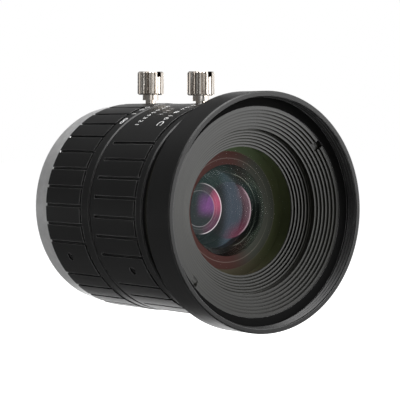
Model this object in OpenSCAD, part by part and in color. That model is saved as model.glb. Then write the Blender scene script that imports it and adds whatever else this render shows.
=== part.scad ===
// Machine vision lens with a 1 inch 32 thread mount, a focus ring and an iris ring,
// each with its own lock screw, and a wide front hood with a filter thread.
// Origin: centre of the mount flange. The front of the lens looks along -Y, up is +Z.
// Profiles are drawn as [radius, station], where a station is a distance in front of the flange.
// A clock angle runs from the top (+Z) towards +X.

/* [Lengths along the axis] */
// Visible length of the silver mount ring
mount_ring_length = 4.75; // [4:0.05:6]
// Length of the thread that goes into the camera
mount_thread_length = 4; // [3:0.1:5]
// Length of the focus ring
focus_ring_length = 14.45; // [14:0.05:16]
// Length of the iris ring
iris_ring_length = 16.05; // [15.5:0.05:18]
// Open neck between the iris ring and the hood
neck_length = 4.6; // [4.4:0.1:6]
// Length of the front hood
hood_length = 6.7; // [6.5:0.1:8]
// Depth of the filter thread
filter_thread_length = 2.8; // [2.4:0.1:3]

/* [Diameters and walls] */
// Mount thread, over its crests
mount_thread_d = 25.4; // [25.3:0.1:25.5]
// Wall of the mount thread
mount_thread_wall = 1.5; // [1.3:0.1:2]
// How far the focus ring stands out over the iris ring
ring_step = 0.15; // [0:0.05:0.5]
// Wall of the fixed barrel, from its bore to the bearing of the focus ring
fixed_wall = 3.8; // [3.4:0.1:5]
// Wall of the focus ring, from its bearing to its grip pads
focus_ring_wall = 2.45; // [2.2:0.05:3]
// Wall of the iris ring, from its bearing to its grip pads
iris_ring_wall = 2.1; // [1.9:0.05:2.6]
// How far the mount ring lies below the grip pads of the focus ring
mount_ring_drop = 0.45; // [0:0.05:0.8]
// Wall of the front hood outside the filter thread
hood_wall = 0.85; // [0.7:0.05:1.5]
// Width of the step between the filter thread and the ridged ring
filter_step = 1.8; // [1:0.1:2.5]

/* [Grip] */
// Depth of the grip grooves
groove_depth = 0.4; // [0.3:0.05:0.5]
// Width of the grip grooves
groove_width = 0.55; // [0.4:0.05:0.8]
// Width of the relief groove in front of the pads
relief_width = 0.5; // [0.4:0.05:0.6]
// Length of the smooth shoulder in front of the focus pads
focus_shoulder_length = 2.4; // [2:0.1:3]
// Length of the smooth shoulder in front of the iris pads
iris_shoulder_length = 1.75; // [1.5:0.05:2]
// Length of the smooth band behind the iris pads
iris_band_length = 1.35; // [1:0.05:1.6]
// How far the shoulders lie below the pads
shoulder_drop = 0.12; // [0.05:0.01:0.2]

/* [Focus travel] */
// Travel of the barrel towards the mount, to the infinity stop
back_travel = 0.25; // [0.2:0.01:0.3]
// Travel of the barrel away from the mount, to the near stop
forward_travel = 0.67; // [0.5:0.01:0.8]

/* [Lock screws and set screws] */
// Shank of a lock screw
lock_shank_d = 1.9; // [1.7:0.1:2]
// Collar under the head of a lock screw
lock_collar_d = 3; // [2.6:0.1:3.4]
// Height of that collar
lock_collar_length = 1; // [0.8:0.1:1.4]
// Knurled head of a lock screw
lock_head_d = 4.94; // [4.4:0.02:5.4]
// Height of the knurled head
lock_head_length = 4.35; // [3.8:0.05:5]
// Ribs round the knurled head
lock_head_ribs = 24; // [18:1:30]
// Bare shank between the focus ring and the collar
focus_lock_gap = 0.6; // [0.4:0.05:0.9]
// Bare shank between the iris ring and the collar
iris_lock_gap = 0.4; // [0.3:0.05:0.7]
// Place of the focus lock screw, from the rear edge of its ring
focus_lock_place = 6.15; // [5:0.05:6.3]
// Place of the iris lock screw, from the rear edge of its ring
iris_lock_place = 7.35; // [6.8:0.05:9]
// Place of the focus set screws, from the rear edge of their ring
focus_set_place = 5.15; // [4:0.05:6]
// Place of the iris set screws, from the rear edge of their ring
iris_set_place = 9.05; // [8:0.05:10]
// Diameter of a set screw
set_screw_d = 1.6; // [1.4:0.1:1.8]

/* [Front end] */
// Ridges on the retaining ring
ridge_count = 6; // [4:1:7]
// Height of one ridge
ridge_height = 0.35; // [0.25:0.01:0.36]
// Width of one ridge
ridge_width = 0.55; // [0.45:0.01:0.6]
// Plain zone outside the ridges
ridged_plain = 0.6; // [0.4:0.05:1]
// Ridges on the baffle in front of the glass
baffle_ridges = 6; // [4:1:7]
// Clear diameter of the front glass
front_glass_clear_d = 22.8; // [21:0.1:25]
// Width of one baffle ridge
baffle_ridge_width = 0.5; // [0.4:0.01:0.6]

/* [Iris] */
// Turn of the iris ring from open to closed, in degrees
iris_turn = 36; // [30:1:40]
// Swing of one blade from open to closed, in degrees
blade_swing = 30; // [26:1:31]
// Width of one blade
blade_width = 3.85; // [3.5:0.05:3.9]
// Thickness of one blade
blade_thickness = 0.12; // [0.08:0.01:0.14]

/* [Hidden] */
$fn = 96;

// Clearances
run_fit = 0.05;      // radial gap of a turning or sliding fit
end_gap = 0.1;       // gap along the axis beside a turning ring
seat_fit = 0.02;     // gap of a screwed or glued seat
free_fit = 0.08;     // radial gap of a collar that only has to pass
cut = 1;             // how far a cutting shape runs past a face
edge = 0.2;          // chamfer on the turned edges
mount_edge = 0.7;    // chamfer on the rear edge of the mount ring

// Stations of the outside, from the flange forward
focus_rear = mount_ring_length + end_gap;
focus_front = focus_rear + focus_ring_length;
ring_gap = back_travel + end_gap;
iris_rear = focus_front + ring_gap;
iris_front = iris_rear + iris_ring_length;
hood_rear = iris_front + neck_length;
hood_front = hood_rear + hood_length;
focus_lock_station = focus_rear + focus_lock_place;
iris_lock_station = iris_rear + iris_lock_place;
focus_set_station = focus_rear + focus_set_place;
iris_set_station = iris_rear + iris_set_place;

// Baffle, ridged ring and filter thread, from the glass outward
baffle_inset = 0.15; // how far the baffle's top step lies inside the ridged ring
baffle_rim = 1;      // rim of the baffle under the ridged ring
barrel_wall = 1.35;  // wall of the barrel round the baffle
hood_thread_drop = 0.1;
glass_clear_r = front_glass_clear_d / 2;
baffle_top_r = glass_clear_r + baffle_ridges * baffle_ridge_width;
ridged_bore_r = baffle_top_r + baffle_inset;
baffle_r = ridged_bore_r + baffle_rim;
ridged_r = ridged_bore_r + ridge_count * ridge_width + ridged_plain;
filter_r = ridged_r + filter_step;
hood_r = filter_r + hood_wall;
hood_thread_r = baffle_r + barrel_wall;

// Rings, from the iris ring's bearing outward, and then inward under the focus ring
iris_step = 0.3;     // how much narrower than the rear cell the iris chamber is
mount_bore_r = mount_thread_d / 2 - mount_thread_wall;
iris_bearing_r = hood_thread_r + hood_thread_drop;
iris_pad_r = iris_bearing_r + iris_ring_wall;
focus_pad_r = iris_pad_r + ring_step;
focus_bearing_r = focus_pad_r - focus_ring_wall;
cell_bore_r = focus_bearing_r - fixed_wall;
cell_r = cell_bore_r - end_gap;
iris_bore_r = cell_r - iris_step;
mount_ring_r = focus_pad_r - mount_ring_drop;

// Fixed barrel and the flange that traps the focus ring
spigot_wall = 1.45;  // wall of the spigot in the mount ring
trap_height = 0.8;   // how far the trapping flange stands out
focus_lip = 7.35;    // length of the focus ring's bearing
trap_thickness = 0.9;
spigot_rear = 1.3;
spigot_r = cell_bore_r + spigot_wall;
trap_r = focus_bearing_r + trap_height;
focus_lip_front = focus_rear + focus_lip;
trap_rear = focus_lip_front + end_gap;
trap_front = trap_rear + trap_thickness;

// Main barrel, which slides with the focus
barrel_gap = 0.15;   // what is left behind the barrel at the rear end of its travel
barrel_flange_t = 0.7;
barrel_flange_gap = 0.25;
barrel_flange_height = 0.9;
stop_thickness = 1.1;
stop_height = 1.3;
hood_sleeve_wall = 0.9;
hood_sleeve_gap = 0.3;
helicoid_r = trap_r;
barrel_rear = trap_front + back_travel + barrel_gap;
barrel_flange_rear = iris_rear + barrel_flange_gap;
barrel_flange_front = barrel_flange_rear + barrel_flange_t;
barrel_flange_r = iris_bearing_r + barrel_flange_height;
stop_rear = iris_front + end_gap;
stop_front = stop_rear + stop_thickness;
stop_ring_r = iris_bearing_r + stop_height;
hood_sleeve_rear = stop_front + hood_sleeve_gap;
hood_sleeve_r = hood_thread_r + hood_sleeve_wall;

// Guide pins, fixed in the fixed barrel, that keep the main barrel from turning
guide_pin_r = 1;
guide_pin_depth = 2.2;
guide_pin_grip = 2.93; // how deep the pins still are at the front end of the travel
guide_pin_reach = forward_travel + guide_pin_grip;
guide_hole_spare = 0.4;
guide_pin_orbit = (cell_bore_r + trap_r) / 2;
guide_clocks = [90, 270];

// Stations of the front end, from the filter thread rearward
ridged_edge = 0.95;  // height of the ridged ring at its bore
spanner_clock = 49;
spanner_width = 1.4;
spanner_reach = 1.5;
spanner_depth = 0.8;
filter_rear = hood_front - filter_thread_length;
ridged_front = filter_rear - end_gap;
ridged_rear = ridged_front - ridge_count * ridge_height - ridged_edge;
barrel_front = ridged_rear - seat_fit;

// Front baffle and the front glass
glass_rim = 0.95;    // how much of the front glass its seat covers
baffle_lip = 0.35;
baffle_height = 1.95;
baffle_length = 4.2;
front_glass_edge = 1.6;
baffle_lip_rear = barrel_front - baffle_height;
baffle_rear = barrel_front - baffle_length;
baffle_step = (baffle_height - baffle_lip) / (baffle_ridges - 1);

// How far a spherical face of radius r falls back at a distance h from the axis
function sag(r, h) = r - sqrt(r * r - h * h);

// Spherical faces and middle thicknesses of the glass
front_front_rad = 28;
front_rear_rad = 9.5;
front_middle = 1.5;
second_front_rad = 18;
second_rear_rad = 9.5;
second_middle = 1;
third_rad = 14;
third_edge = 1.05;
doublet_front_rad = 14;
doublet_cement_rad = 11;
doublet_middle = 6;
doublet_rear_middle = 1.6;
rear_rad = 16;
rear_middle = 4.6;

front_bore_r = glass_clear_r + glass_rim;
front_front_v = baffle_lip_rear + sag(front_front_rad, glass_clear_r) - seat_fit;
front_seat = baffle_rear - front_glass_edge;
front_rear_v = front_front_v - front_middle;

// Second and third element
second_step = 2.75;  // how much narrower than the front glass the second one is
third_margin = 1.55; // how much wider than the full aperture the third one is
third_rim = 1.5;     // how much of the third element its seat covers
spacer_wall = 1.1;   // wall of the front spacer
second_spacer_wall = 0.9;
second_depth = 2.9;
second_height = 4;
third_wall = 3.4;     // wall between the iris chamber and the third element
second_bore_r = front_bore_r - second_step;
second_seat = front_seat - second_depth;
second_front_v = second_seat + second_height;
second_rear_v = second_front_v - second_middle;
front_spacer_bore_r = second_bore_r - spacer_wall;

// Iris, from its front wall rearward
drive_pin_r = 0.95;
drive_pin_place = 4.4;
drive_ring_t = 0.9;
drive_tip_r = drive_ring_t / 2;
base_plate_t = 0.8;
blade_count = 6;
blade_gap = 0.05;
cover_length = 1.1;
cover_width = 2;
drive_pin_station = iris_rear + drive_pin_place;
drive_ring_front = drive_pin_station + drive_ring_t / 2;
drive_ring_rear = drive_ring_front - drive_ring_t;
chamber_front = drive_ring_front + end_gap;
blade_pitch = blade_thickness + blade_gap;
blade_zone_rear = drive_ring_rear - blade_count * blade_pitch - blade_gap;
base_plate_front = blade_zone_rear - blade_gap;
base_plate_rear = base_plate_front - base_plate_t;
cover_front = base_plate_rear - seat_fit;
cover_rear = cover_front - cover_length;

// Blades, in the plane of the iris, from the chamber's wall inward
pivot_depth = 1.1;   // from the wall to the ring of pivots
cam_depth = 1.3;     // from the wall to the ring of cam pins
cam_lead = 15;       // angle from a blade's pivot to its cam pin
blade_pin_r = 0.4;
blade_ear_r = 0.85;
blade_span = 118;
first_blade = 60;
stop_margin = 0.45;  // how far the open blades stand outside the full aperture
drive_ring_width = 4.15;
drive_notch_depth = 0.65;
drive_pin_cover = 0.9; // skin of the iris ring outside the drive pin
pivot_r = iris_bore_r - pivot_depth;
cam_r = iris_bore_r - cam_depth;
blade_outer_r = pivot_r - blade_ear_r;
blade_inner_r = blade_outer_r - blade_width;
stop_hole_r = blade_inner_r - stop_margin;
plate_r = iris_bore_r - 2 * seat_fit;
drive_ring_inner_r = iris_bore_r - drive_ring_width;
drive_notch_clock = 180 - iris_turn / 2;
third_bore_r = stop_hole_r + third_margin;
third_hole_r = third_bore_r - third_rim;
second_spacer_bore_r = third_bore_r - second_spacer_wall;
third_seat = chamber_front + third_wall;
third_rear_v = third_seat - sag(third_rad, third_hole_r) + seat_fit;
third_front_v = third_rear_v + 2 * sag(third_rad, third_bore_r) + third_edge;

// Rear cell: the cemented pair is placed from its front, the rear glass from its rear
cell_gap = 0.9;      // room between the cell and the ring that holds the iris
cell_rear = 1.3;
cell_tail_length = 3.9;
cell_tail_fit = 0.2; // radial gap between the cell's tail and the mount's hole
cell_mouth = 2;      // wall of the cell at its front mouth
doublet_bore_r = 6.6;
doublet_clear_r = 5.8;
doublet_ring_depth = 2.1;
doublet_ring_length = 1.85;
doublet_ring_bore_r = 5.9;
doublet_lip_t = 1;
rear_bore_r = 7.2;
rear_clear_r = 6.4;
rear_ring_bore_r = 6.3;
rear_ring_place = 1.9;
rear_ring_length = 1.65;
rear_slot_width = 1;
rear_slot_depth = 0.6;
cell_seat = cover_rear - cell_gap;
cell_front = cell_seat - end_gap;
cell_tail_front = cell_rear + cell_tail_length;
cell_tail_r = min(mount_bore_r - cell_tail_fit, cell_r);
doublet_ring_front = cell_front - doublet_ring_depth;
doublet_ring_rear = doublet_ring_front - doublet_ring_length;
doublet_front_v = doublet_ring_rear + sag(doublet_front_rad, doublet_ring_bore_r) - seat_fit;
doublet_rear_l = doublet_front_v - doublet_middle;
doublet_cement_v = doublet_rear_l + doublet_rear_middle;
doublet_lip_front = doublet_rear_l - seat_fit;
rear_ring_rear = cell_rear + rear_ring_place;
rear_ring_front = rear_ring_rear + rear_ring_length;
rear_rear_v = rear_ring_front - sag(rear_rad, rear_ring_bore_r) + seat_fit;
rear_front_v = rear_rear_v + rear_middle;
rear_lip_rear = rear_front_v - sag(rear_rad, rear_clear_r) + seat_fit;

// Lock screws: a pad under the screw presses on the barrel
lock_shank_r = lock_shank_d / 2;
lock_hole_r = lock_shank_r + run_fit;
lock_pad_length = 0.7;
lock_rib = 0.2;      // depth of the knurl
lock_bevel = 0.25;   // chamfer on the head
lock_slot_width = 0.8;
lock_slot_depth = 1;
lock_slot_turn = 7;

// Set screws
set_screw_r = set_screw_d / 2;
set_screw_length = 1.4;
set_socket_depth = 0.8;
set_recess = 0.35;
focus_set_clocks = [241.5, 118.5];
iris_set_clocks = [236, 124];

// Grip: [first clock, last clock, number of grooves] of each run of grooves
focus_runs = [[6.5, 109.5, 11], [130.5, 229.5, 11], [250.5, 353.5, 11]];
iris_runs = [[51.5, 115, 7], [135, 225, 10], [245, 308.5, 7]];

// Colours
black = "#1d1d1f";
deep_black = "#101012";
silver = "#c9cacc";
nickel = "#cfc8bb";
coated = "#3a5348";

// Turns a profile of [radius, station] points round the axis
module turned() {
    rotate([90, 0, 0]) rotate_extrude() children();
}

// A plain tube profile
module band(r_in, r_out, rear, front) {
    translate([r_in, rear]) square([r_out - r_in, front - rear]);
}

// Puts a shape that stands at the top at a clock angle
module at_clock(angle) {
    rotate([0, angle, 0]) children();
}

// A radial pin or hole at the top: it stands at a station and runs from one radius to another
module radial(r, station, from, to) {
    translate([0, -station, from]) cylinder(r = r, h = to - from, $fn = 48);
}

// A run of axial grooves of one width, cut down to a floor radius
module groove_runs(runs, floor_r, rear, front) {
    for (run = runs)
        for (i = [0 : run[2] - 1])
            at_clock(run[0] + i * (run[1] - run[0]) / (run[2] - 1))
                translate([-groove_width / 2, -front, floor_r])
                    cube([groove_width, front - rear, groove_depth + cut]);
}

// Staircase from a bore up to a front face: steps of equal width and height
function stairs(n, r0, dr, l0, dl) = [
    for (i = [0 : n - 1]) each [[r0 + i * dr, l0 + i * dl], [r0 + (i + 1) * dr, l0 + i * dl]]
];

// Front element shape shared by all glass: sphere in front, and a rear face that is
// hollow (rear_rad > 0), bulging (rear_rad < 0) or flat (rear_rad = 0)
module glass(rim_r, rear_l, front_v, front_rad, rear_v, rear_rad) {
    turned() difference() {
        intersection() {
            translate([0, rear_l]) square([rim_r, front_v - rear_l]);
            translate([0, front_v - front_rad]) circle(front_rad);
            if (rear_rad < 0) translate([0, rear_v - rear_rad]) circle(-rear_rad);
        }
        if (rear_rad > 0) translate([0, rear_v - rear_rad]) circle(rear_rad);
    }
}

// Silver ring: flange face, camera thread and the socket for the fixed barrel
module mount_ring() {
    color(silver) turned() difference() {
        union() {
            polygon([
                [0, -mount_thread_length], [mount_thread_d / 2 - edge, -mount_thread_length],
                [mount_thread_d / 2, edge - mount_thread_length], [mount_thread_d / 2, cut], [0, cut]
            ]);
            polygon([
                [0, 0], [mount_ring_r - mount_edge, 0], [mount_ring_r, mount_edge],
                [mount_ring_r, mount_ring_length - edge], [mount_ring_r - edge, mount_ring_length],
                [0, mount_ring_length]
            ]);
        }
        band(0, mount_bore_r, -mount_thread_length - cut, mount_ring_length + cut);
        band(0, spigot_r + seat_fit, spigot_rear - end_gap, mount_ring_length + cut);
    }
}

// Black sleeve screwed into the mount ring: bearing of the focus ring and the flange in front of it
module fixed_barrel() {
    color(black) difference() {
        turned() {
            band(cell_bore_r, spigot_r, spigot_rear, focus_rear);
            band(cell_bore_r, focus_bearing_r, mount_ring_length + seat_fit, trap_front);
            band(cell_bore_r, trap_r, trap_rear, trap_front);
        }
        for (clock = guide_clocks)
            at_clock(clock) guide_hole(seat_fit, trap_front - guide_pin_depth, trap_front + cut);
    }
}

// A hole or pin parallel to the axis, at the orbit of the guide pins
module guide_hole(fit, rear, front) {
    translate([0, -rear, guide_pin_orbit]) rotate([90, 0, 0])
        cylinder(r = guide_pin_r + fit, h = front - rear, $fn = 48);
}

// Two dowels pressed into the fixed barrel: the main barrel slides on them and can't turn
module guide_pins() {
    color(nickel) for (clock = guide_clocks)
        at_clock(clock) guide_hole(0, trap_front - guide_pin_depth + seat_fit, trap_front + guide_pin_reach);
}

// Rear grip ring: pads, relief groove, smooth shoulder, bearing lip and the counterbore
// over the helicoid
module focus_ring() {
    relief_front = focus_front - focus_shoulder_length;
    pads_front = relief_front - relief_width;
    shoulder_r = focus_pad_r - shoulder_drop;
    floor_r = focus_pad_r - groove_depth;
    color(black) difference() {
        turned() difference() {
            polygon([
                [0, focus_rear], [focus_pad_r - edge, focus_rear], [focus_pad_r, focus_rear + edge],
                [focus_pad_r, pads_front], [floor_r, pads_front], [floor_r, relief_front],
                [shoulder_r, relief_front], [shoulder_r, focus_front - edge],
                [shoulder_r - edge, focus_front], [0, focus_front]
            ]);
            band(0, focus_bearing_r + run_fit, focus_rear - cut, focus_front + cut);
            band(0, trap_r + free_fit, focus_lip_front, focus_front + cut);
        }
        groove_runs(focus_runs, floor_r, focus_rear - cut, pads_front + relief_width / 2);
        radial(lock_hole_r, focus_lock_station, focus_bearing_r - cut, focus_pad_r + cut);
        for (clock = focus_set_clocks)
            at_clock(clock)
                radial(set_screw_r + seat_fit, focus_set_station, focus_bearing_r - cut, focus_pad_r + cut);
    }
}

// Headless set screws with a hexagon socket, sunk in their holes
module set_screws(clocks, station, pad_r) {
    color(deep_black) for (clock = clocks)
        at_clock(clock) difference() {
            radial(set_screw_r, station, pad_r - set_recess - set_screw_length, pad_r - set_recess);
            translate([0, -station, pad_r - set_recess - set_socket_depth])
                cylinder(r = set_screw_r / 2, h = set_socket_depth + cut, $fn = 6);
        }
}

module focus_set_screws() {
    set_screws(focus_set_clocks, focus_set_station, focus_pad_r);
}

// Soft pad at the foot of a lock screw, which spares the barrel
module lock_pad(station, bearing_r) {
    color("#d8d4c8")
        radial(lock_shank_r - run_fit, station, bearing_r + end_gap, bearing_r + end_gap + lock_pad_length);
}

module focus_lock_pad() {
    lock_pad(focus_lock_station, focus_bearing_r);
}

// Knurled lock screw with a collar and a screwdriver slot
module lock_screw(station, bearing_r, pad_r, gap) {
    foot = bearing_r + end_gap + lock_pad_length + seat_fit;
    collar = pad_r + gap;
    head = collar + lock_collar_length;
    top = head + lock_head_length;
    r = lock_head_d / 2;
    rib = lock_rib;
    bevel = lock_bevel;
    color(nickel) difference() {
        union() {
            radial(lock_shank_r, station, foot, collar + seat_fit);
            radial(lock_collar_d / 2, station, collar, head + seat_fit);
            intersection() {
                translate([0, -station, head]) linear_extrude(lock_head_length) polygon([
                    for (i = [0 : lock_head_ribs - 1])
                        for (j = [[0, rib], [0.2, 0], [0.62, 0], [0.82, rib]])
                            let (a = (i + j[0]) * 360 / lock_head_ribs) (r - j[1]) * [cos(a), sin(a)]
                ]);
                translate([0, -station, 0]) rotate_extrude($fn = 48) polygon([
                    [0, head], [r - bevel, head], [r, head + bevel],
                    [r, top - bevel], [r - bevel, top], [0, top]
                ]);
            }
        }
        translate([0, -station, top - lock_slot_depth]) rotate([0, 0, lock_slot_turn])
            translate([-lock_slot_width / 2, -r - cut, 0])
                cube([lock_slot_width, 2 * (r + cut), lock_slot_depth + cut]);
    }
}

module focus_lock_screw() {
    lock_screw(focus_lock_station, focus_bearing_r, focus_pad_r, focus_lock_gap);
}

// Sliding barrel: helicoid tail, flange behind the iris ring, bearing of the iris ring,
// stepped bores for the front glass, and the iris chamber
module main_barrel() {
    slot_half = iris_turn / 2;
    slot_r = drive_pin_r + end_gap;
    guide_hole_front = trap_front + guide_pin_reach + back_travel + guide_hole_spare;
    color(black) difference() {
        turned() difference() {
            union() {
                band(0, helicoid_r, barrel_rear, barrel_flange_rear + edge);
                band(0, barrel_flange_r, barrel_flange_rear, barrel_flange_front);
                band(0, iris_bearing_r, barrel_flange_rear, stop_front);
                band(0, hood_thread_r, barrel_flange_rear, barrel_front);
            }
            band(0, cell_r + seat_fit, barrel_rear - cut, cell_seat);
            band(0, iris_bore_r, cell_seat - cut, chamber_front);
            band(0, third_hole_r, chamber_front - cut, third_seat + cut);
            band(0, third_bore_r, third_seat, second_seat + cut);
            band(0, second_bore_r, second_seat, front_seat + cut);
            band(0, front_bore_r, front_seat, baffle_rear + cut);
            band(0, baffle_r + seat_fit, baffle_rear - seat_fit, barrel_front + cut);
        }
        for (clock = guide_clocks)
            at_clock(clock) guide_hole(run_fit, barrel_rear - cut, guide_hole_front);
        for (clock = [180 - slot_half, 180 + slot_half])
            at_clock(clock)
                radial(slot_r, drive_pin_station, iris_bore_r - cut, iris_bearing_r + cut);
        rotate([0, 180 - slot_half, 0]) rotate([90, 0, 0]) rotate([0, 0, 90 - iris_turn])
            rotate_extrude(angle = iris_turn)
                translate([iris_bore_r - cut, drive_pin_station - slot_r])
                    square([iris_bearing_r - iris_bore_r + 2 * cut, 2 * slot_r]);
    }
}

// Threaded ring that keeps the iris ring on its bearing
module iris_stop_ring() {
    color(deep_black) turned()
        band(iris_bearing_r + seat_fit, stop_ring_r, stop_rear, stop_front);
}

// Wide black hood with the filter thread, a shoulder and the seat of the ridged ring
module front_hood() {
    color(black) turned() difference() {
        union() {
            polygon([
                [0, hood_rear], [hood_r - edge, hood_rear], [hood_r, hood_rear + edge],
                [hood_r, hood_front - edge], [hood_r - edge, hood_front], [0, hood_front]
            ]);
            band(0, hood_sleeve_r, hood_sleeve_rear, hood_rear + edge);
        }
        band(0, hood_thread_r + seat_fit, hood_sleeve_rear - cut, barrel_front + seat_fit);
        band(0, ridged_r + seat_fit, barrel_front, hood_front + cut);
        band(0, filter_r, filter_rear, hood_front + cut);
    }
}

// Ridged retaining ring: stepped light trap with two spanner slots
module front_retaining_ring() {
    bore_front = ridged_front - ridge_count * ridge_height;
    color(black) difference() {
        turned() polygon(concat(
            [[ridged_bore_r, ridged_rear]],
            stairs(ridge_count, ridged_bore_r, ridge_width, bore_front, ridge_height),
            [[ridged_r - ridged_plain, ridged_front], [ridged_r, ridged_front], [ridged_r, ridged_rear]]
        ));
        for (clock = [spanner_clock, spanner_clock + 180])
            at_clock(clock)
                translate([-spanner_width / 2, -ridged_front - cut, ridged_r - spanner_reach])
                    cube([spanner_width, spanner_depth + cut, spanner_reach + cut]);
    }
}

// Stepped baffle that holds the front glass down
module front_baffle() {
    color(black) turned() polygon(concat(
        [[front_bore_r, baffle_rear], [front_bore_r, baffle_lip_rear], [glass_clear_r, baffle_lip_rear]],
        stairs(baffle_ridges, glass_clear_r, baffle_ridge_width, baffle_lip_rear + baffle_lip, baffle_step),
        [[baffle_r, barrel_front], [baffle_r, baffle_rear]]
    ));
}

module front_element() {
    color(coated) glass(front_bore_r - seat_fit, front_seat + seat_fit,
        front_front_v, front_front_rad, front_rear_v, front_rear_rad);
}

// Spacer between the first two elements
module front_spacer() {
    rear = second_front_v - sag(second_front_rad, front_spacer_bore_r) + seat_fit;
    color(deep_black) turned() band(front_spacer_bore_r, second_bore_r - seat_fit, rear, front_seat);
}

module second_element() {
    color(coated) glass(second_bore_r - seat_fit, second_seat + seat_fit,
        second_front_v, second_front_rad, second_rear_v, second_rear_rad);
}

// Spacer between the second and the third element
module second_spacer() {
    rear = third_front_v - sag(third_rad, second_spacer_bore_r) + seat_fit;
    color(deep_black) turned() band(second_spacer_bore_r, third_bore_r - seat_fit, rear, second_seat);
}

module third_element() {
    color(coated)
        glass(third_bore_r - seat_fit, third_rear_v, third_front_v, third_rad, third_rear_v, -third_rad);
}

// Flat shape in the plane of the iris, seen from the front
module iris_sheet(rear, thickness) {
    rotate([90, 0, 0]) translate([0, 0, rear]) linear_extrude(thickness) children();
}

// Place of a point that swings with a blade about its pivot
function swung(point, swing) =
    let (p = [pivot_r, 0], d = point - p)
    p + [d[0] * cos(swing) - d[1] * sin(swing), d[0] * sin(swing) + d[1] * cos(swing)];

// Path of the cam pin as the drive ring sees it, for a share t of the full travel
function cam_path(t) =
    let (p = swung(cam_r * [cos(cam_lead), sin(cam_lead)], t * blade_swing), a = t * iris_turn)
    [p[0] * cos(a) - p[1] * sin(a), p[0] * sin(a) + p[1] * cos(a)];

// Cam slot: the pin's path, widened to both sides, with round ends
module cam_slot(half) {
    steps = 12;
    path = [for (i = [0 : steps]) cam_path(i / steps)];
    side = [
        for (i = [0 : steps])
            let (d = path[min(i + 1, steps)] - path[max(i - 1, 0)]) half * [-d[1], d[0]] / norm(d)
    ];
    polygon(concat(
        [for (i = [0 : steps]) path[i] + side[i]],
        [for (i = [steps : -1 : 0]) path[i] - side[i]]
    ));
    for (end = [path[0], path[steps]]) translate(end) circle(half, $fn = 32);
}

// Slotted ring that swings the blades; the drive pin sits in its notch
module iris_drive_ring() {
    color("#3b3b3d") iris_sheet(drive_ring_rear, drive_ring_t) difference() {
        circle(plate_r - run_fit);
        circle(drive_ring_inner_r);
        for (i = [0 : blade_count - 1])
            rotate(first_blade + i * 360 / blade_count) cam_slot(blade_pin_r + run_fit);
        rotate(-drive_notch_clock)
            translate([-drive_tip_r - run_fit, plate_r - drive_notch_depth])
                square([2 * (drive_tip_r + run_fit), cut]);
    }
}

// Radial pin from the iris ring, through the barrel's slot, with a thin tip in the drive ring's notch
module iris_drive_pin() {
    shoulder = iris_bore_r + end_gap;
    tip = plate_r - drive_notch_depth + seat_fit;
    color(nickel) at_clock(drive_notch_clock) {
        radial(drive_pin_r, drive_pin_station, shoulder, iris_pad_r - drive_pin_cover);
        radial(drive_tip_r, drive_pin_station, tip, shoulder + drive_tip_r);
    }
}

// Fixed plate behind the blades, with their pivot holes and the full aperture
module iris_base_plate() {
    color("#3b3b3d") iris_sheet(base_plate_rear, base_plate_t) difference() {
        circle(plate_r);
        circle(stop_hole_r);
        for (i = [0 : blade_count - 1])
            rotate(first_blade + i * 360 / blade_count) translate([pivot_r, 0])
                circle(blade_pin_r + run_fit, $fn = 32);
    }
}

// Threaded ring behind the base plate
module iris_cover_ring() {
    color(deep_black) turned() band(iris_bore_r - cover_width, plate_r, cover_rear, cover_front);
}

// One curved blade in its own plane, with a pivot pin to the rear and a cam pin to the front
module blade(i) {
    rear = blade_zone_rear + i * blade_pitch;
    mid_r = (blade_inner_r + blade_outer_r) / 2;
    cam = cam_r * [cos(cam_lead), sin(cam_lead)];
    color("#4a4a4d") rotate([90, 0, 0]) rotate([0, 0, first_blade + i * 360 / blade_count]) {
        translate([0, 0, rear]) linear_extrude(blade_thickness) {
            intersection() {
                difference() {
                    circle(blade_outer_r);
                    circle(blade_inner_r);
                }
                polygon([
                    [0, 0], [2 * blade_outer_r, 0], [2 * blade_outer_r, 4 * blade_outer_r],
                    [-4 * blade_outer_r, 4 * blade_outer_r],
                    4 * blade_outer_r * [cos(blade_span), sin(blade_span)]
                ]);
            }
            intersection() {
                difference() {
                    circle(pivot_r + blade_ear_r * 0.8);
                    circle(blade_inner_r);
                }
                polygon([[0, 0], [2 * pivot_r, 0], 2 * pivot_r * [cos(cam_lead), sin(cam_lead)]]);
            }
            translate([pivot_r, 0]) circle(blade_ear_r, $fn = 32);
            translate(cam) circle(blade_ear_r, $fn = 32);
            rotate(blade_span) translate([mid_r, 0]) circle(blade_outer_r - mid_r, $fn = 48);
        }
        translate([pivot_r, 0, base_plate_rear + end_gap])
            cylinder(r = blade_pin_r, h = rear + blade_thickness - base_plate_rear - end_gap, $fn = 32);
        translate([cam[0], cam[1], rear])
            cylinder(r = blade_pin_r, h = drive_ring_front - end_gap - rear, $fn = 32);
    }
}

module iris_blade_1() { blade(0); }
module iris_blade_2() { blade(1); }
module iris_blade_3() { blade(2); }
module iris_blade_4() { blade(3); }
module iris_blade_5() { blade(4); }
module iris_blade_6() { blade(5); }

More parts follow.
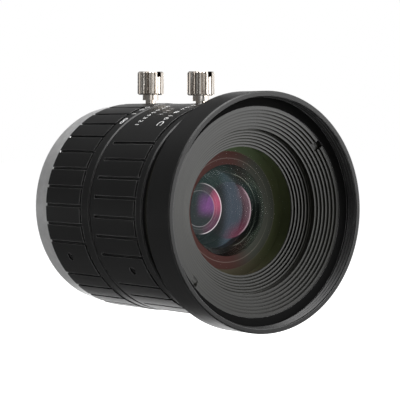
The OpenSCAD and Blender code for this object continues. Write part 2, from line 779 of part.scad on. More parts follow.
// Front grip ring with a smooth sector for its scale
module iris_ring() {
    relief_front = iris_front - iris_shoulder_length;
    pin_top = iris_pad_r - drive_pin_cover;
    pads_front = relief_front - relief_width;
    shoulder_r = iris_pad_r - shoulder_drop;
    floor_r = iris_pad_r - groove_depth;
    color(black) difference() {
        turned() difference() {
            polygon([
                [0, iris_rear], [iris_pad_r - edge, iris_rear], [iris_pad_r, iris_rear + edge],
                [iris_pad_r, pads_front], [floor_r, pads_front], [floor_r, relief_front],
                [shoulder_r, relief_front], [shoulder_r, iris_front - edge],
                [shoulder_r - edge, iris_front], [0, iris_front]
            ]);
            band(0, iris_bearing_r + run_fit, iris_rear - cut, iris_front + cut);
            band(0, barrel_flange_r + free_fit, iris_rear - cut, barrel_flange_front + end_gap);
        }
        groove_runs(iris_runs, floor_r, iris_rear + iris_band_length, pads_front + relief_width / 2);
        radial(lock_hole_r, iris_lock_station, iris_bearing_r - cut, iris_pad_r + cut);
        for (clock = iris_set_clocks)
            at_clock(clock)
                radial(set_screw_r + seat_fit, iris_set_station, iris_bearing_r - cut, iris_pad_r + cut);
        at_clock(drive_notch_clock)
            radial(drive_pin_r + seat_fit, drive_pin_station, iris_bearing_r - cut, pin_top + seat_fit);
    }
}

module iris_set_screws() {
    set_screws(iris_set_clocks, iris_set_station, iris_pad_r);
}

module iris_lock_pad() {
    lock_pad(iris_lock_station, iris_bearing_r);
}

module iris_lock_screw() {
    lock_screw(iris_lock_station, iris_bearing_r, iris_pad_r, iris_lock_gap);
}

// Cell behind the iris, which carries the rear glass down into the mount
module rear_cell() {
    color(black) turned() difference() {
        union() {
            band(0, cell_r, cell_tail_front, cell_front);
            band(0, cell_tail_r, cell_rear, cell_tail_front + cut);
        }
        band(0, rear_bore_r, cell_rear - cut, rear_lip_rear);
        band(0, rear_clear_r, rear_lip_rear - cut, doublet_lip_front - doublet_lip_t);
        band(0, doublet_clear_r, rear_lip_rear, doublet_lip_front + cut);
        band(0, doublet_bore_r, doublet_lip_front, cell_front + cut);
        polygon([
            [0, doublet_ring_front], [doublet_bore_r, doublet_ring_front],
            [cell_r - cell_mouth, cell_front + seat_fit], [0, cell_front + seat_fit]
        ]);
    }
}

// Threaded ring in front of the cemented pair
module doublet_retaining_ring() {
    color(deep_black) turned()
        band(doublet_ring_bore_r, doublet_bore_r - seat_fit, doublet_ring_rear, doublet_ring_front);
}

module doublet_front_element() {
    color(coated) glass(doublet_bore_r - seat_fit, doublet_cement_v,
        doublet_front_v, doublet_front_rad, doublet_cement_v, -doublet_cement_rad);
}

// Hollow front face that is cemented to its neighbour, flat rear face on the lip
module doublet_rear_element() {
    rim = doublet_bore_r - seat_fit;
    color(coated) turned() difference() {
        band(0, rim, doublet_rear_l, doublet_cement_v + sag(doublet_cement_rad, rim));
        translate([0, doublet_cement_v + doublet_cement_rad]) circle(doublet_cement_rad + seat_fit);
    }
}

module rear_element() {
    color(coated) glass(rear_bore_r - seat_fit, rear_rear_v, rear_front_v, rear_rad, rear_rear_v, -rear_rad);
}

// Threaded ring behind the rear glass, with two spanner slots
module rear_retaining_ring() {
    color(deep_black) difference() {
        turned() band(rear_ring_bore_r, rear_bore_r - seat_fit, rear_ring_rear, rear_ring_front);
        for (clock = [90, 270])
            at_clock(clock)
                translate([-rear_slot_width / 2, -rear_ring_rear - rear_slot_depth, rear_ring_bore_r - cut])
                    cube([rear_slot_width, rear_slot_depth + cut, rear_bore_r - rear_ring_bore_r + 2 * cut]);
    }
}

mount_ring();
fixed_barrel();
guide_pins();
focus_ring();
focus_set_screws();
focus_lock_pad();
focus_lock_screw();
main_barrel();
iris_stop_ring();
front_hood();
front_retaining_ring();
front_baffle();
front_element();
front_spacer();
second_element();
second_spacer();
third_element();
iris_base_plate();
iris_cover_ring();
rear_cell();
doublet_retaining_ring();
doublet_front_element();
doublet_rear_element();
rear_element();
rear_retaining_ring();
iris_ring();
iris_set_screws();
iris_drive_pin();
iris_drive_ring();
iris_lock_pad();
iris_lock_screw();
iris_blade_1();
iris_blade_2();
iris_blade_3();
iris_blade_4();
iris_blade_5();
iris_blade_6();
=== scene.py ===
# %% [markdown]
# A machine vision lens, dressed for a studio picture.
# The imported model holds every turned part, every glass element and the iris. This file gives each
# of them its finish, cuts the fine threads, prints the dials and sets up the studio and the camera.

# %% Load the frame and note its box
import math

import bmesh
import bpy
from mathutils import Matrix, Vector


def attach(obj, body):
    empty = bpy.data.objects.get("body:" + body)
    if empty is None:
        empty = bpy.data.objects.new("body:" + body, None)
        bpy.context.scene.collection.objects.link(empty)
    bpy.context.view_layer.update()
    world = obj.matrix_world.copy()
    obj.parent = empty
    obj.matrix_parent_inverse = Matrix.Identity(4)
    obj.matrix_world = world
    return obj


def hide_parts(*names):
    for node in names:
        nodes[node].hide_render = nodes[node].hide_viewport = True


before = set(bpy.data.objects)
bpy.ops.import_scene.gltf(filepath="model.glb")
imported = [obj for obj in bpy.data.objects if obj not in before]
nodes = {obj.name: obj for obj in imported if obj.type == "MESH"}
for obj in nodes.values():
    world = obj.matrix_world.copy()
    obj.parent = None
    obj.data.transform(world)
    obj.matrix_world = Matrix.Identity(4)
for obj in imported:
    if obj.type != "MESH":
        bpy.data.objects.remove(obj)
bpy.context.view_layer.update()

# %% [markdown]
# The lens points along -Y and its axis is the Y axis, so every place on it is a radius, a clock
# angle and a station. The station is the distance in front of the mount flange, and the clock
# angle runs from the top towards +X. One helper turns the three into a point.

# %% Places on the lens
MM = 0.001


def place(radius, clock, station):
    """The point at a radius and station in millimetres, and a clock angle in degrees."""
    turn = math.radians(clock)
    return Vector((radius * math.sin(turn), -station, radius * math.cos(turn))) * MM


print("top of the rim:", tuple(place(21.1, 0, 47)))

# %% [markdown]
# The camera stands low, in front of the lens and to its left, with a long lens of its own, so
# the rings show almost as true ellipses. Its three axes were fitted to the rim, the rings and
# the two thumbscrews, and they are written here as directions in the lens frame.

# %% Camera
CAMERA_RIGHT = Vector((0.80683, -0.59074, 0.00722))
CAMERA_DOWN = Vector((-0.01366, -0.03087, -0.99943))
CAMERA_FORWARD = Vector((0.59062, 0.80627, -0.03297))
CAMERA_PLACE = Vector((-0.20385, -0.30524, 0.01295))
CAMERA_FOCAL_MM = 171
SENSOR_MM = 36

camera_data = bpy.data.cameras.new("photo_camera")
camera_data.lens = CAMERA_FOCAL_MM
camera_data.sensor_width = SENSOR_MM
camera_data.clip_start = 0.01
camera = bpy.data.objects.new("photo_camera", camera_data)
bpy.context.scene.collection.objects.link(camera)
axes = Matrix((CAMERA_RIGHT, -CAMERA_DOWN, -CAMERA_FORWARD)).transposed()
camera.matrix_world = Matrix.Translation(CAMERA_PLACE) @ axes.to_4x4()
bpy.context.scene.camera = camera
bpy.context.scene.view_settings.view_transform = "Standard"
print("camera distance:", round(CAMERA_PLACE.length, 3), "m")

# %% [markdown]
# A shader is a graph of sockets, and most of the maths in it is plain arithmetic. This small
# class wraps one socket and lets Python operators add the Math nodes, also with the number
# first, so that 1 - mask reads as it does on paper.

# %% Sockets that can be added and multiplied


class Socket:
    """One output socket of a material, with arithmetic."""

    def __init__(self, tree, out):
        self.tree = tree
        self.out = out

    def maths(self, operation, *values):
        node = self.tree.nodes.new("ShaderNodeMath")
        node.operation = operation
        for slot, value in zip(node.inputs, values):
            if isinstance(value, Socket):
                self.tree.links.new(value.out, slot)
            else:
                slot.default_value = value
        return Socket(self.tree, node.outputs[0])

    def __add__(self, other):
        return self.maths("ADD", self, other)

    def __radd__(self, other):
        return self.maths("ADD", other, self)

    def __mul__(self, other):
        return self.maths("MULTIPLY", self, other)

    def __rmul__(self, other):
        return self.maths("MULTIPLY", other, self)

    def __sub__(self, other):
        return self.maths("SUBTRACT", self, other)

    def __rsub__(self, other):
        return self.maths("SUBTRACT", other, self)

    def __truediv__(self, other):
        return self.maths("DIVIDE", self, other)

    def __rtruediv__(self, other):
        return self.maths("DIVIDE", other, self)

    def __pow__(self, other):
        return self.maths("POWER", self, other)

    def __gt__(self, other):
        return self.maths("GREATER_THAN", self, other)

    def __lt__(self, other):
        return self.maths("LESS_THAN", self, other)

    def root(self):
        return self.maths("SQRT", self)

    def size(self):
        return self.maths("ABSOLUTE", self)

    def kept(self):
        """The value, held between 0 and 1."""
        return self.maths("MINIMUM", self.maths("MAXIMUM", self, 0.0), 1.0)


print("operators ready")

# %% [markdown]
# A material is then a short recipe. The class below makes the node tree with its Principled
# shader, has one method that adds any other node, and knows what a turned part needs: the place
# on the surface, soft steps and rings, turning marks, and a mask for sharp edges, which are
# painted bright partly as wear and partly as a painted highlight.

# %% A material under construction


class Finish:
    """A material with its node tree, its Principled shader and helpers for turned parts."""

    def __init__(self, name, **constants):
        self.material = bpy.data.materials.new(name)
        self.material.use_nodes = True
        self.tree = self.material.node_tree
        self.shader = self.tree.nodes["Principled BSDF"]
        for key, value in constants.items():
            self.shader.inputs[key.replace("_", " ")].default_value = value

    def node(self, kind, settings=None, outlet=0, **values):
        """Adds a node, sets it up, then fills or links its sockets, and gives one output."""
        made = self.tree.nodes.new("ShaderNode" + kind)
        for key, value in (settings or {}).items():
            setattr(made, key, value)
        for key, value in values.items():
            slot = made.inputs[int(key[1:]) if key[1:].isdigit() else key.replace("_", " ")]
            if isinstance(value, Socket):
                self.tree.links.new(value.out, slot)
            else:
                slot.default_value = value
        return Socket(self.tree, made.outputs[outlet])

    def feed(self, **links):
        """Links values that change over the surface to the shader."""
        for key, value in links.items():
            self.tree.links.new(value.out, self.shader.inputs[key.replace("_", " ")])
        return self

    def colour(self, factor, first, second):
        """A colour between two colours, each a socket or three numbers."""
        ends = [value if isinstance(value, Socket) else (*value, 1) for value in (first, second)]
        return self.node("Mix", {"data_type": "RGBA"}, 2, i0=factor, i6=ends[0], i7=ends[1])

    def where(self):
        """The x, y and z of the surface in millimetres, as three sockets."""
        point = self.node("TexCoord", outlet="Object")
        return [self.node("SeparateXYZ", outlet=axis, i0=point) / MM for axis in range(3)]

    def turned(self):
        """Radius and station in millimetres, and how far round to the right and to the top."""
        x, y, z = self.where()
        radius = (x * x + z * z).root()
        return radius, y * -1, x / radius, z / radius

    def step(self, value, start, end):
        """A soft step from 0 at start to 1 at end."""
        settings = {"interpolation_type": "SMOOTHSTEP"}
        return self.node("MapRange", settings, Value=value, From_Min=start, From_Max=end)

    def ring(self, value, middle, half_width, soft=0.03):
        """1 on a thin ring round a value, 0 elsewhere."""
        return 1 - self.step((value - middle).size(), half_width, half_width + soft)

    def marks(self, scale, radius, station, detail=3.0):
        """Random turning marks, the same all the way round."""
        lathe = self.node("CombineXYZ", X=radius, Y=station)
        return self.node("TexNoise", Vector=lathe, Scale=scale, Detail=detail)

    def cloud(self, scale, detail=2.0, stretch=(1, 1, 1)):
        """Soft random patches, with scale in patches per metre."""
        point = self.node("TexCoord", outlet="Object")
        moved = self.node("Mapping", Vector=point, Scale=stretch)
        return self.node("TexNoise", Vector=moved, Scale=scale, Detail=detail)

    def rounded_edges(self, radius_mm):
        """A normal that rounds sharp edges, and a mask that is 1 on them."""
        rounded = self.node("Bevel", {"samples": 4}, Radius=radius_mm * MM)
        flat = self.node("NewGeometry", outlet="Normal")
        along = self.node("VectorMath", {"operation": "DOT_PRODUCT"}, "Value", i0=rounded, i1=flat)
        return rounded, self.step(1 - along, 0.02, 0.25)

    def bump(self, height, strength, distance_mm, normal):
        return self.node("Bump", Height=height, Strength=strength, Distance=distance_mm * MM, Normal=normal)


print("recipe class ready")

# %% [markdown]
# The studio is a white floor, a white surround, soft boxes, and black cards that stand outside
# the picture. The floor is below the lens, as if the lens were held on a stand: it keeps the
# shadow, and emits only what brings its lit part up to white. The surround is white to the
# camera and in reflections, and weaker for the light that it sheds.

# %% Floor and surround
FLOOR_Z = -0.06
FLOOR_SIDE = 8.0
FLOOR_GLOW = 0.84
AMBIENT = 0.22


def card(name, corners, finish):
    """A flat four-cornered stage piece."""
    mesh = bpy.data.meshes.new(name)
    mesh.from_pydata([Vector(c) for c in corners], [], [(0, 1, 2, 3)])
    mesh.materials.append(finish.material)
    made = bpy.data.objects.new(name, mesh)
    bpy.context.scene.collection.objects.link(made)
    return made


pale = Finish("pale_floor", Base_Color=(0.8, 0.8, 0.8, 1), Roughness=0.9, Specular_IOR_Level=0.0)
pale.shader.inputs["Emission Color"].default_value = (1, 1, 1, 1)
pale.shader.inputs["Emission Strength"].default_value = FLOOR_GLOW
half = FLOOR_SIDE / 2
floor_corners = [(-half, -half), (half, -half), (half, half), (-half, half)]
card("studio_floor", [(x, y, FLOOR_Z) for x, y in floor_corners], pale)

world = bpy.data.worlds.new("white_surround")
bpy.context.scene.world = world
world.use_nodes = True
background = world.node_tree.nodes["Background"]
background.inputs["Color"].default_value = (1, 1, 1, 1)
rays = world.node_tree.nodes.new("ShaderNodeLightPath")
seen = [Socket(world.node_tree, rays.outputs[f"Is {kind} Ray"]) for kind in ("Camera", "Glossy", "Transmission")]
strength = (seen[0] + seen[1] + seen[2]).kept() * (1 - AMBIENT) + AMBIENT
world.node_tree.links.new(strength.out, background.inputs["Strength"])
print("floor at", FLOOR_Z, "m")

# %% Soft boxes and black cards
LENS_MIDDLE = place(0, 0, 24)


def soft_box(name, direction, distance, width, height, power):
    """A rectangular lamp that looks at the middle of the lens."""
    data = bpy.data.lights.new(name, "AREA")
    data.shape = "RECTANGLE"
    data.size = width
    data.size_y = height
    data.energy = power
    lamp = bpy.data.objects.new(name, data)
    lamp.location = LENS_MIDDLE + Vector(direction).normalized() * distance
    lamp.rotation_euler = (LENS_MIDDLE - lamp.location).to_track_quat("-Z", "Y").to_euler()
    bpy.context.scene.collection.objects.link(lamp)


CARD_GLOW = 0.1


def facing(direction, distance, width, height):
    """The corners of an upright card that looks at the middle of the lens."""
    outward = Vector(direction).normalized()
    middle = LENS_MIDDLE + outward * distance
    across = outward.cross(Vector((0, 0, 1))).normalized() * width / 2
    up = across.cross(outward).normalized() * height / 2
    return [middle - across - up, middle + across - up, middle + across + up, middle - across + up]


def dark_card(name, corners, glow=CARD_GLOW):
    """A dark card that only reflections see."""
    grey = Finish(name, Base_Color=(0.01, 0.01, 0.01, 1), Roughness=0.9, Specular_IOR_Level=0.0)
    grey.shader.inputs["Emission Color"].default_value = (1, 1, 1, 1)
    grey.shader.inputs["Emission Strength"].default_value = glow
    made = card(name, corners, grey)
    made.visible_camera = False
    made.visible_diffuse = False
    made.visible_shadow = False


soft_box("top_box", (-0.1, -0.3, 1), 0.6, 0.5, 0.5, 4.5)
soft_box("front_right_box", (0.62, -0.8, 0.1), 0.8, 0.45, 0.6, 3.2)
soft_box("high_front_box", (0.4, -0.7, 1.0), 0.8, 0.5, 0.5, 3.5)
dark_card("rear_left_card", facing((-0.75, 1, 0.0), 0.7, 1.6, 1.2))
dark_card("left_card", facing((-1, -0.35, 0.0), 0.6, 0.7, 0.8))
dark_card("rear_top_card", facing((0.3, 0.8, 0.6), 0.9, 1.4, 0.5))
dark_card("front_card", facing((0.0, -1, 0.0), 0.9, 0.4, 1.3), 0.0)
LOW_CARD_Z = -0.055
for side, (left, right, rear) in {"left": (-0.9, 0.02, 0.45), "right": (0.02, 0.4, 0.0)}.items():
    low_corners = [(left, -0.6), (right, -0.6), (right, rear), (left, rear)]
    dark_card(f"low_{side}_card", [(x, y, LOW_CARD_Z) for x, y in low_corners])

# %% Finishes of the metal parts


def anodised(name, low, high, roughness, shine):
    """Turned aluminium under a satin anodised skin, its edges painted a little bright as wear and as a painted
    highlight, with painted shade on the ledge inside the hood.
    """
    finish = Finish(name, Specular_IOR_Level=shine)
    radius, station, right, top = finish.turned()
    marks = finish.marks(2.2, radius, station)
    cloud = finish.cloud(160)
    rounded, edges = finish.rounded_edges(0.14)
    skin = finish.colour(marks * 0.6 + cloud * 0.4, low, high)
    # Painted highlight and wear: sharp edges, inner corners too, are painted a lighter grey in random patches.
    wear_and_highlight = edges * (cloud * 1.2).kept()
    # Painted shade: on the ledge inside the hood, raised roughness and metallic darken the reflection where the
    # hood wall shades it.
    recess_shade = finish.ring(radius, 19.35, 0.85, 0.08) * finish.ring(station, 44.15, 0.2, 0.05)
    finish.feed(Base_Color=finish.colour(wear_and_highlight, skin, (0.22, 0.22, 0.22)))
    finish.feed(Roughness=roughness + (marks - 0.5) * 0.16 + recess_shade * 0.5, Metallic=recess_shade * 0.7)
    finish.feed(Normal=finish.bump(marks, 0.25, 0.01, rounded))
    return finish.material


def metal(name, colour, roughness, metallic=1.0):
    """Bare or anodised metal with faint streaks."""
    finish = Finish(name, Metallic=metallic)
    cloud = finish.cloud(900, 3)
    rounded, edges = finish.rounded_edges(0.05)
    dark = tuple(c * 0.8 for c in colour)
    finish.feed(Base_Color=finish.colour(cloud, dark, colour), Roughness=cloud * 0.15 + roughness, Normal=rounded)
    return finish.material


GLASS_CLEAR, RIDGED_BORE = 11.4, 14.55
BAFFLE_RIDGE, RING_RIDGE = 0.5, 0.55


def ridged_black():
    """Matte black for the stepped rings, with a painted highlight on the top of each step and painted shade in its
    inner corner.
    """
    finish = Finish("matte_black", Specular_IOR_Level=0.46)
    radius, station, right, top = finish.turned()
    marks = finish.marks(2.2, radius, station)
    cloud = finish.cloud(160)
    outer = radius > RIDGED_BORE - 0.05
    inner_step = radius.maths("FRACT", (radius - GLASS_CLEAR) / BAFFLE_RIDGE)
    outer_step = radius.maths("FRACT", (radius - RIDGED_BORE) / RING_RIDGE)
    phase = inner_step * (1 - outer) + outer_step * outer
    on_steps = (radius > GLASS_CLEAR) * (radius < RIDGED_BORE + 6 * RING_RIDGE) * (1 - outer * 0.55)
    # Painted shade in each step's inner corner, by killing its reflection with metallic, and a painted highlight on
    # each step's top; both are weaker on the outer ring.
    groove_shade = finish.step(phase, 0.4, 0.85) * on_steps
    crest_highlight = (1 - finish.step(phase, 0.05, 0.45)) * on_steps
    skin = finish.colour(marks * 0.6 + cloud * 0.4, (0.0045, 0.0045, 0.0036), (0.0095, 0.0095, 0.0072))
    skin = finish.colour(crest_highlight * (cloud * 0.8 + 0.3).kept(), skin, (0.028, 0.028, 0.023))
    finish.feed(Base_Color=skin, Roughness=0.33 + (marks - 0.5) * 0.16, Metallic=groove_shade * 0.9)
    return finish.material


SCREW_STATIONS = (11.0, 27.0)
KNURL_ROOT, KNURL_CREST = 2.14, 2.42


def nickel():
    """Warm nickel plate on the thumbscrews, darker between the knurls and in the slot, bright on the ridges, and
    darker on the end faces.
    """
    finish = Finish("nickel", Metallic=1.0)
    x, y, z = finish.where()
    middle, reach = sum(SCREW_STATIONS) / 2, (SCREW_STATIONS[1] - SCREW_STATIONS[0]) / 2
    along = (y * -1 - middle).size() - reach
    from_axis = (x * x + along * along).root()
    streaks = finish.cloud(1500, 3, (1, 1, 0.12))
    head = finish.step(from_axis, 1.6, 1.7) * finish.step(z, 20.6, 20.8)
    valley = (1 - finish.step(from_axis, KNURL_ROOT, KNURL_CREST)) * head
    upward = finish.node("SeparateXYZ", outlet=2, i0=finish.node("TexCoord", outlet="Normal"))
    end_face = finish.step(upward, 0.6, 0.9) * (z > 24.5)
    slot = (1 - finish.step(from_axis, 2.0, KNURL_ROOT)) * (z > 23.5)
    # The knurl valleys and the slot are darkened to a dark brown, except on the end faces.
    knurl_darkening = ((valley + slot) * (1 - end_face)).kept()
    plate = finish.colour(finish.step(streaks, 0.38, 0.62), (0.82, 0.73, 0.64), (1.0, 0.96, 0.9))
    plate = finish.colour(end_face, plate, (0.16, 0.145, 0.13))
    finish.feed(Base_Color=finish.colour(knurl_darkening, plate, (0.07, 0.055, 0.04)))
    finish.feed(Roughness=streaks * 0.2 + 0.12 + end_face * 0.3)
    return finish.material


def plain(name, colour, roughness, metallic=0.0, shine=0.5):
    """A dull even surface with faint patches."""
    finish = Finish(name, Metallic=metallic, Specular_IOR_Level=shine)
    cloud = finish.cloud(500)
    bright = tuple(c * 1.15 for c in colour)
    finish.feed(Base_Color=finish.colour(cloud, colour, bright), Roughness=cloud * 0.06 + roughness)
    return finish.material


# %% [markdown]
# Coated glass is clear, but a stack of it is never empty: each coated face returns a weak tinted
# reflection, and between the faces the ground edges and spacers show as soft coloured rings.
# Real refraction through six faces needs many samples, so each face is a thin clear layer instead,
# with these reflections and rings painted into its colour, on two elements also as a glow, and its
# tint and its cover worked out from the radius and from the side of the lens.

# %% A clear coated layer


def coated(name, shine=0.1, glow=0.0):
    """A finish for glass with its coordinates, and a glow for the painted reflection of its coating."""
    finish = Finish(name, IOR=1.5, Specular_IOR_Level=shine)
    finish.shader.inputs["Emission Strength"].default_value = glow
    return (finish, *finish.turned())


def dome_mask(finish, radius, station, centre, rad):
    """1 on the spherical face with this centre station and radius."""
    return finish.step((radius * radius + (station - centre) ** 2).root(), rad - 0.2, rad - 0.1)


# %% Front element


def front_glass():
    """A clear dome in front; behind it a ground seat and wall, and a hollow face, painted with coating reflections
    in olive, red and grey, and with thin pale reflected rings.
    """
    finish, radius, station, right, top = coated("front_glass")
    dome = dome_mask(finish, radius, station, 13.485, 28)
    seat = (1 - finish.step(station, 35.26, 35.4)) * (radius > 8.2)
    wall = finish.step(radius, 12.1, 12.2)
    rim = (seat + wall).kept()
    # Painted reflection: the tints turn redder towards the left and warmer towards the bottom, and the olive
    # darkens on the right.
    side = finish.step(right + top.size() * -0.35, 0.35, -0.35)
    inner = finish.colour(side, (0.040, 0.043, 0.034), (0.056, 0.020, 0.017))
    warm = finish.step(top, 0.2, -0.8)
    olive = finish.colour(warm, (0.050, 0.070, 0.034), (0.062, 0.054, 0.034))
    olive = finish.colour(finish.step(right, 0.2, 0.95), olive, (0.036, 0.042, 0.018))
    face = finish.colour(finish.step(radius, 10.5, 10.6), inner, olive)
    # Painted reflection: two thin pale rings, strongest at the top and bottom and on the right.
    reflection_line = finish.ring(radius, 9.29, 0.03, 0.06) * top.size() + finish.ring(radius, 10.55, 0.03, 0.05) * right * 0.5
    face = finish.colour((reflection_line * 0.5).kept(), face, (0.20, 0.16, 0.14))
    hollow = finish.colour(side, (0.046, 0.057, 0.045), (0.044, 0.026, 0.022))
    colour = finish.colour(rim, hollow, face)
    colour = finish.colour(dome, colour, (0.004, 0.005, 0.004))
    hollow_cover = 0.04 + finish.step(radius, 4.2, 6.4) * finish.step(right, -0.4, 0.5) * 0.66
    alpha = (1 - dome) * (rim + (1 - rim) * hollow_cover) + dome * 0.06
    finish.feed(Base_Color=colour, Alpha=alpha, Roughness=0.08 + rim * 0.5)
    return finish.material


# %% Second element


def second_glass():
    """A painted pink reflection crescent low on the right of its front face, and a thin pale reflected ring round
    it, both glowing as well.
    """
    finish, radius, station, right, top = coated("second_glass", glow=1.0)
    dome = dome_mask(finish, radius, station, 18.33, 18)
    inside = 1 - finish.step(radius, 5.02, 5.1)
    around = finish.step(right * 0.95 - top * 0.3, -0.1, 0.6)
    crescent = finish.step(radius, 2.0, 4.7) * inside * around
    low = finish.step(top, -0.2, -0.8)
    band = finish.colour(low, (0.085, 0.050, 0.062), (0.072, 0.022, 0.036))
    # Painted highlight: the crescent turns pale pink at its right edge.
    bright = finish.step(radius, 4.55, 5.0) * finish.step(right, 0.3, 0.95)
    pink = finish.colour(bright, band, (0.32, 0.24, 0.27))
    reflection_line = finish.ring(radius, 6.54, 0.03, 0.07) * finish.step(right, 0.0, 0.4) * (0.25 + top.size())
    colour = finish.colour((1 - inside).kept(), pink, (0.022, 0.036, 0.033))
    colour = finish.colour(reflection_line.kept(), colour, (0.17, 0.19, 0.16))
    alpha = dome * (0.04 + crescent * 0.8 + reflection_line * 0.6 + (1 - inside) * finish.step(top, -0.1, 0.7) * 0.4).kept()
    # The painted reflections are fed to the emission as well, so they glow.
    finish.feed(Base_Color=colour, Emission_Color=colour, Alpha=alpha)
    finish.shader.inputs["Roughness"].default_value = 0.1
    return finish.material


# %% Third element


def third_glass():
    """Painted reflections that also glow: blue grey in front; on the rear face a magenta disc with a painted
    highlight spot and a thin bright reflected arc.
    """
    finish, radius, station, right, top = coated("third_glass", glow=2.8)
    dome = dome_mask(finish, radius, station, 18.4, 14)
    back = dome_mask(finish, radius, station, 40.49, 14) * (1 - dome)
    disc = 1 - finish.step(radius, 4.66, 4.72)
    inside = 1 - finish.step(radius, 3.26, 3.34)
    across, up = right * radius, top * radius
    level = 1 - finish.step((up - 1.3).size(), 0.3, 3.6)
    # Painted highlight: a bright magenta spot to the right of the middle of the disc.
    highlight_spot = finish.step(across, 2.0, 3.6) * level
    outer = finish.colour(finish.step(across, -0.5, 2.5), (0.026, 0.025, 0.026), (0.105, 0.034, 0.068))
    outer = finish.colour(highlight_spot, outer, (0.45, 0.075, 0.160))
    violet = finish.step(across, -0.9, 1.6) * (1 - finish.step((up - 0.9).size(), 0.5, 3.0))
    core = finish.colour(violet, (0.020, 0.020, 0.022), (0.185, 0.055, 0.215))
    colour = finish.colour(inside, outer, core)
    # Painted reflection: a thin bright arc on the right side of the disc, and fainter rings inside.
    arc = finish.ring(radius, 4.6, 0.03, 0.06) * finish.step(right, -0.15, 0.35)
    thin = finish.ring(radius, 3.3, 0.02, 0.06) * 0.3 + finish.ring(radius, 3.8, 0.02, 0.05) * 0.08
    colour = finish.colour((arc + thin).kept(), colour, (0.95, 0.88, 0.91))
    blue = finish.colour(finish.step(across, 0.5, 3.2), (0.034, 0.048, 0.048), (0.110, 0.150, 0.190))
    colour = finish.colour(dome, colour, blue)
    alpha = dome * 0.16 + back * disc * 0.37
    # The painted reflections are fed to the emission too, so they glow.
    finish.feed(Base_Color=colour, Emission_Color=colour, Alpha=alpha)
    finish.shader.inputs["Roughness"].default_value = 0.15
    return finish.material


# %% Elements behind the iris
CEMENT_CENTRE, CEMENT_RAD = 23.494, 11.0


def back_glass(name):
    """Clear, with a faint painted coating reflection, blue green in the middle and violet at the edge."""
    finish, radius, station, right, top = coated(name)
    reflection_bloom = finish.step(radius, 2.0, 6.5)
    cement = 1 - dome_mask(finish, radius, station, CEMENT_CENTRE, CEMENT_RAD + 0.25)
    cement = cement * dome_mask(finish, radius, station, CEMENT_CENTRE, CEMENT_RAD)
    # Painted coating reflection: a faint tint that grows towards the edge.
    tint = finish.colour(reflection_bloom, (0.02, 0.04, 0.04), (0.035, 0.02, 0.05))
    finish.feed(Base_Color=tint, Alpha=(reflection_bloom * 0.3 + 0.08) * (1 - cement))
    finish.shader.inputs["Roughness"].default_value = 0.08
    return finish.material


# %% Give every node its finish
finishes = {
    "black_anodised": anodised("black_anodised", (0.003, 0.003, 0.0031), (0.0058, 0.0058, 0.0058), 0.36, 0.33),
    "matte_black": ridged_black(),
    "silver_anodised": metal("silver_anodised", (0.9, 0.9, 0.9), 0.3, 0.9),
    "nickel": nickel(),
    "blackened_steel": plain("blackened_steel", (0.01, 0.01, 0.01), 0.35),
    "bare_steel": metal("bare_steel", (0.5, 0.5, 0.5), 0.3),
    "iris_metal": plain("iris_metal", (0.02, 0.02, 0.02), 0.5, 0.3),
    "blade_metal": plain("blade_metal", (0.12, 0.12, 0.13), 0.4, 0.5),
    "nylon": plain("nylon", (0.7, 0.68, 0.6), 0.5),
    "coated_glass": back_glass("coated_glass"),
    "glass": back_glass("glass"),
}
own = {
    "front_element": front_glass(),
    "second_element": second_glass(),
    "third_element": third_glass(),
    "front_retaining_ring": finishes["matte_black"],
}
for name, item in nodes.items():
    slots = item.data.materials
    for index, old in enumerate(slots):
        slots[index] = own.get(name) or finishes[old.name.split(".")[0]]
print("finished nodes:", len(nodes))

# %% Dials
DIAL_LIFT = 0.02
INK = 0.02
ink = Finish("dial_ink", Roughness=0.5)
ink.feed(Base_Color=ink.colour(ink.cloud(2500), (0.5, 0.5, 0.5), (0.75, 0.75, 0.75)))


def glyphs(text, height):
    """A flat mesh of a text, centred, with its capitals of the given height."""
    curve = bpy.data.curves.new("glyphs", "FONT")
    curve.body = text
    curve.align_x = "CENTER"
    curve.align_y = "CENTER"
    curve.size = height / 0.7
    curve.extrude = INK / 2
    shape = bpy.data.objects.new("glyphs", curve)
    bpy.context.scene.collection.objects.link(shape)
    bpy.context.view_layer.update()
    mesh = bpy.data.meshes.new_from_object(shape.evaluated_get(bpy.context.evaluated_depsgraph_get()))
    bpy.data.objects.remove(shape)
    return mesh


def dial(name, body, radius, entries):
    """Prints entries of (text, clock, station, height) round a ring, read from the rear."""
    verts, faces = [], []
    for text, clock, station, height in entries:
        mesh = glyphs(text, height)
        base = len(verts)
        for v in mesh.vertices:
            turn = clock - math.degrees(v.co.x / radius)
            verts.append(place(radius + DIAL_LIFT + v.co.z, turn, station + v.co.y))
        faces += [tuple(base + i for i in p.vertices) for p in mesh.polygons]
    made = bpy.data.meshes.new(name)
    made.from_pydata(verts, [], faces)
    made.materials.append(ink.material)
    piece = bpy.data.objects.new(name, made)
    bpy.context.scene.collection.objects.link(piece)
    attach(piece, body)
    print(name, len(faces), "faces")


HELICOID_PITCH = 3.0
FOCAL = 8.0
INFINITY_CLOCK = 326
metres = [("1", 1), ("0.5", 0.5), ("0.3", 0.3), ("0.2", 0.2), ("0.15", 0.15), ("0.1", 0.1)]
focus_scale = [("∞", INFINITY_CLOCK, 17.9, 1.6)]
for text, distance in metres:
    extension = FOCAL**2 / (distance / MM)
    focus_scale.append((text, INFINITY_CLOCK + 360 * extension / HELICOID_PITCH, 17.9, 1.3))
dial("focus_dial", "focus_ring", 19.13, focus_scale)

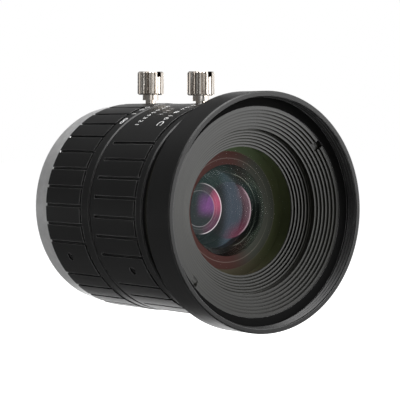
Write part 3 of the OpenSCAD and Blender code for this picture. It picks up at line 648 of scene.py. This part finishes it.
stops = [("C", 1.5), ("16", 1.3), ("8", 1.3), ("5.6", 1.0), ("4", 1.3), ("2.8", 1.0), ("1.4", 1.0)]
iris_scale = [(text, 323.5 + 6 * i, 30.5, height) for i, (text, height) in enumerate(stops)]
iris_scale += [(str(i + 1), 322.5 + 3.2 * i, 23.5, 1.1) for i in range(8)]
iris_scale += [("|", 333 + 2.5 * i, 27.0, 0.9) for i in range(4)]
dial("iris_dial", "iris_ring", 19.1, iris_scale)

# %% [markdown]
# Both ends of the lens are threaded. The mount has the 1 inch camera thread with 32 turns to
# the inch, cut as a true right-hand helix, so its ring is turned again here from the same
# profile with the thread in its wall. The filter thread is a fine helix inside the hood.

# %% Turned mount ring with its thread
AROUND = 128


def shaded(name, verts, faces, material, body):
    """A piece with smooth faces and sharp corners that rides on a body."""
    mesh = bpy.data.meshes.new(name)
    mesh.from_pydata(verts, [], faces)
    shape = bmesh.new()
    shape.from_mesh(mesh)
    bmesh.ops.recalc_face_normals(shape, faces=shape.faces)
    for face in shape.faces:
        face.smooth = True
    for edge in shape.edges:
        edge.smooth = edge.calc_face_angle(0) < math.radians(25)
    shape.to_mesh(mesh)
    shape.free()
    mesh.materials.append(material)
    piece = bpy.data.objects.new(name, mesh)
    bpy.context.scene.collection.objects.link(piece)
    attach(piece, body)
    print(name, len(mesh.polygons), "faces")
    return piece


MOUNT_PITCH = 25.4 / 32
THREAD_CREST, THREAD_DEPTH = 12.7, 0.43


def thread_radius(clock, station):
    """The radius of the camera thread at a clock angle and a station."""
    phase = (station / MOUNT_PITCH + clock / 360) % 1
    ridge = min(max((0.85 - abs(phase - 0.5) * 2) / 0.7, 0), 1)
    fade = min(max(min((station + 3.9) / 0.4, (-0.35 - station) / 0.4), 0), 1)
    return THREAD_CREST - THREAD_DEPTH * (1 - ridge) * fade


THREAD_ROWS = 46
rows = [(-4.0, 11.2), (-4.0, 12.5)]
rows += [(-3.8 + 3.7 * i / THREAD_ROWS, None) for i in range(THREAD_ROWS + 1)]
rows += [(0, 12.7), (0, 18.1), (0.7, 18.8), (4.55, 18.8), (4.75, 18.6), (4.75, 14.47), (1.2, 14.47), (1.2, 11.2)]
clocks = [360 * k / AROUND for k in range(AROUND)]
verts = [place(radius or thread_radius(c, station), c, station) for station, radius in rows for c in clocks]
faces = []
for i in range(len(rows)):
    here, there = i * AROUND, (i + 1) % len(rows) * AROUND
    faces += [(here + k, here + (k + 1) % AROUND, there + (k + 1) % AROUND, there + k) for k in range(AROUND)]
threaded = shaded("threaded_mount_ring", verts, faces, finishes["silver_anodised"], "mount")
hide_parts("mount_ring")

# %% Filter thread
FILTER_PITCH, FILTER_BORE = 0.75, 20.25
FILTER_REAR, FILTER_FRONT = 44.6, 46.65
turns = (FILTER_FRONT - FILTER_REAR) / FILTER_PITCH
steps = round(turns * AROUND)
verts = []
for k in range(steps + 1):
    clock = 360 * turns * k / steps
    ramp = min(k, steps - k, 12) / 12
    middle = FILTER_FRONT - FILTER_PITCH * clock / 360
    section = [(0.02, -0.3), (0.02 - 0.28 * ramp, -0.03), (0.02 - 0.28 * ramp, 0.03), (0.02, 0.3)]
    verts += [place(FILTER_BORE + out, clock, middle + along) for out, along in section]
faces = [(0, 1, 2, 3), tuple(4 * steps + i for i in (3, 2, 1, 0))]
for k in range(steps):
    faces += [(4 * k + i, 4 * k + 4 + i, 4 * k + 4 + (i + 1) % 4, 4 * k + (i + 1) % 4) for i in range(4)]
shaded("filter_thread_helix", verts, faces, finishes["black_anodised"], "lens_barrel")
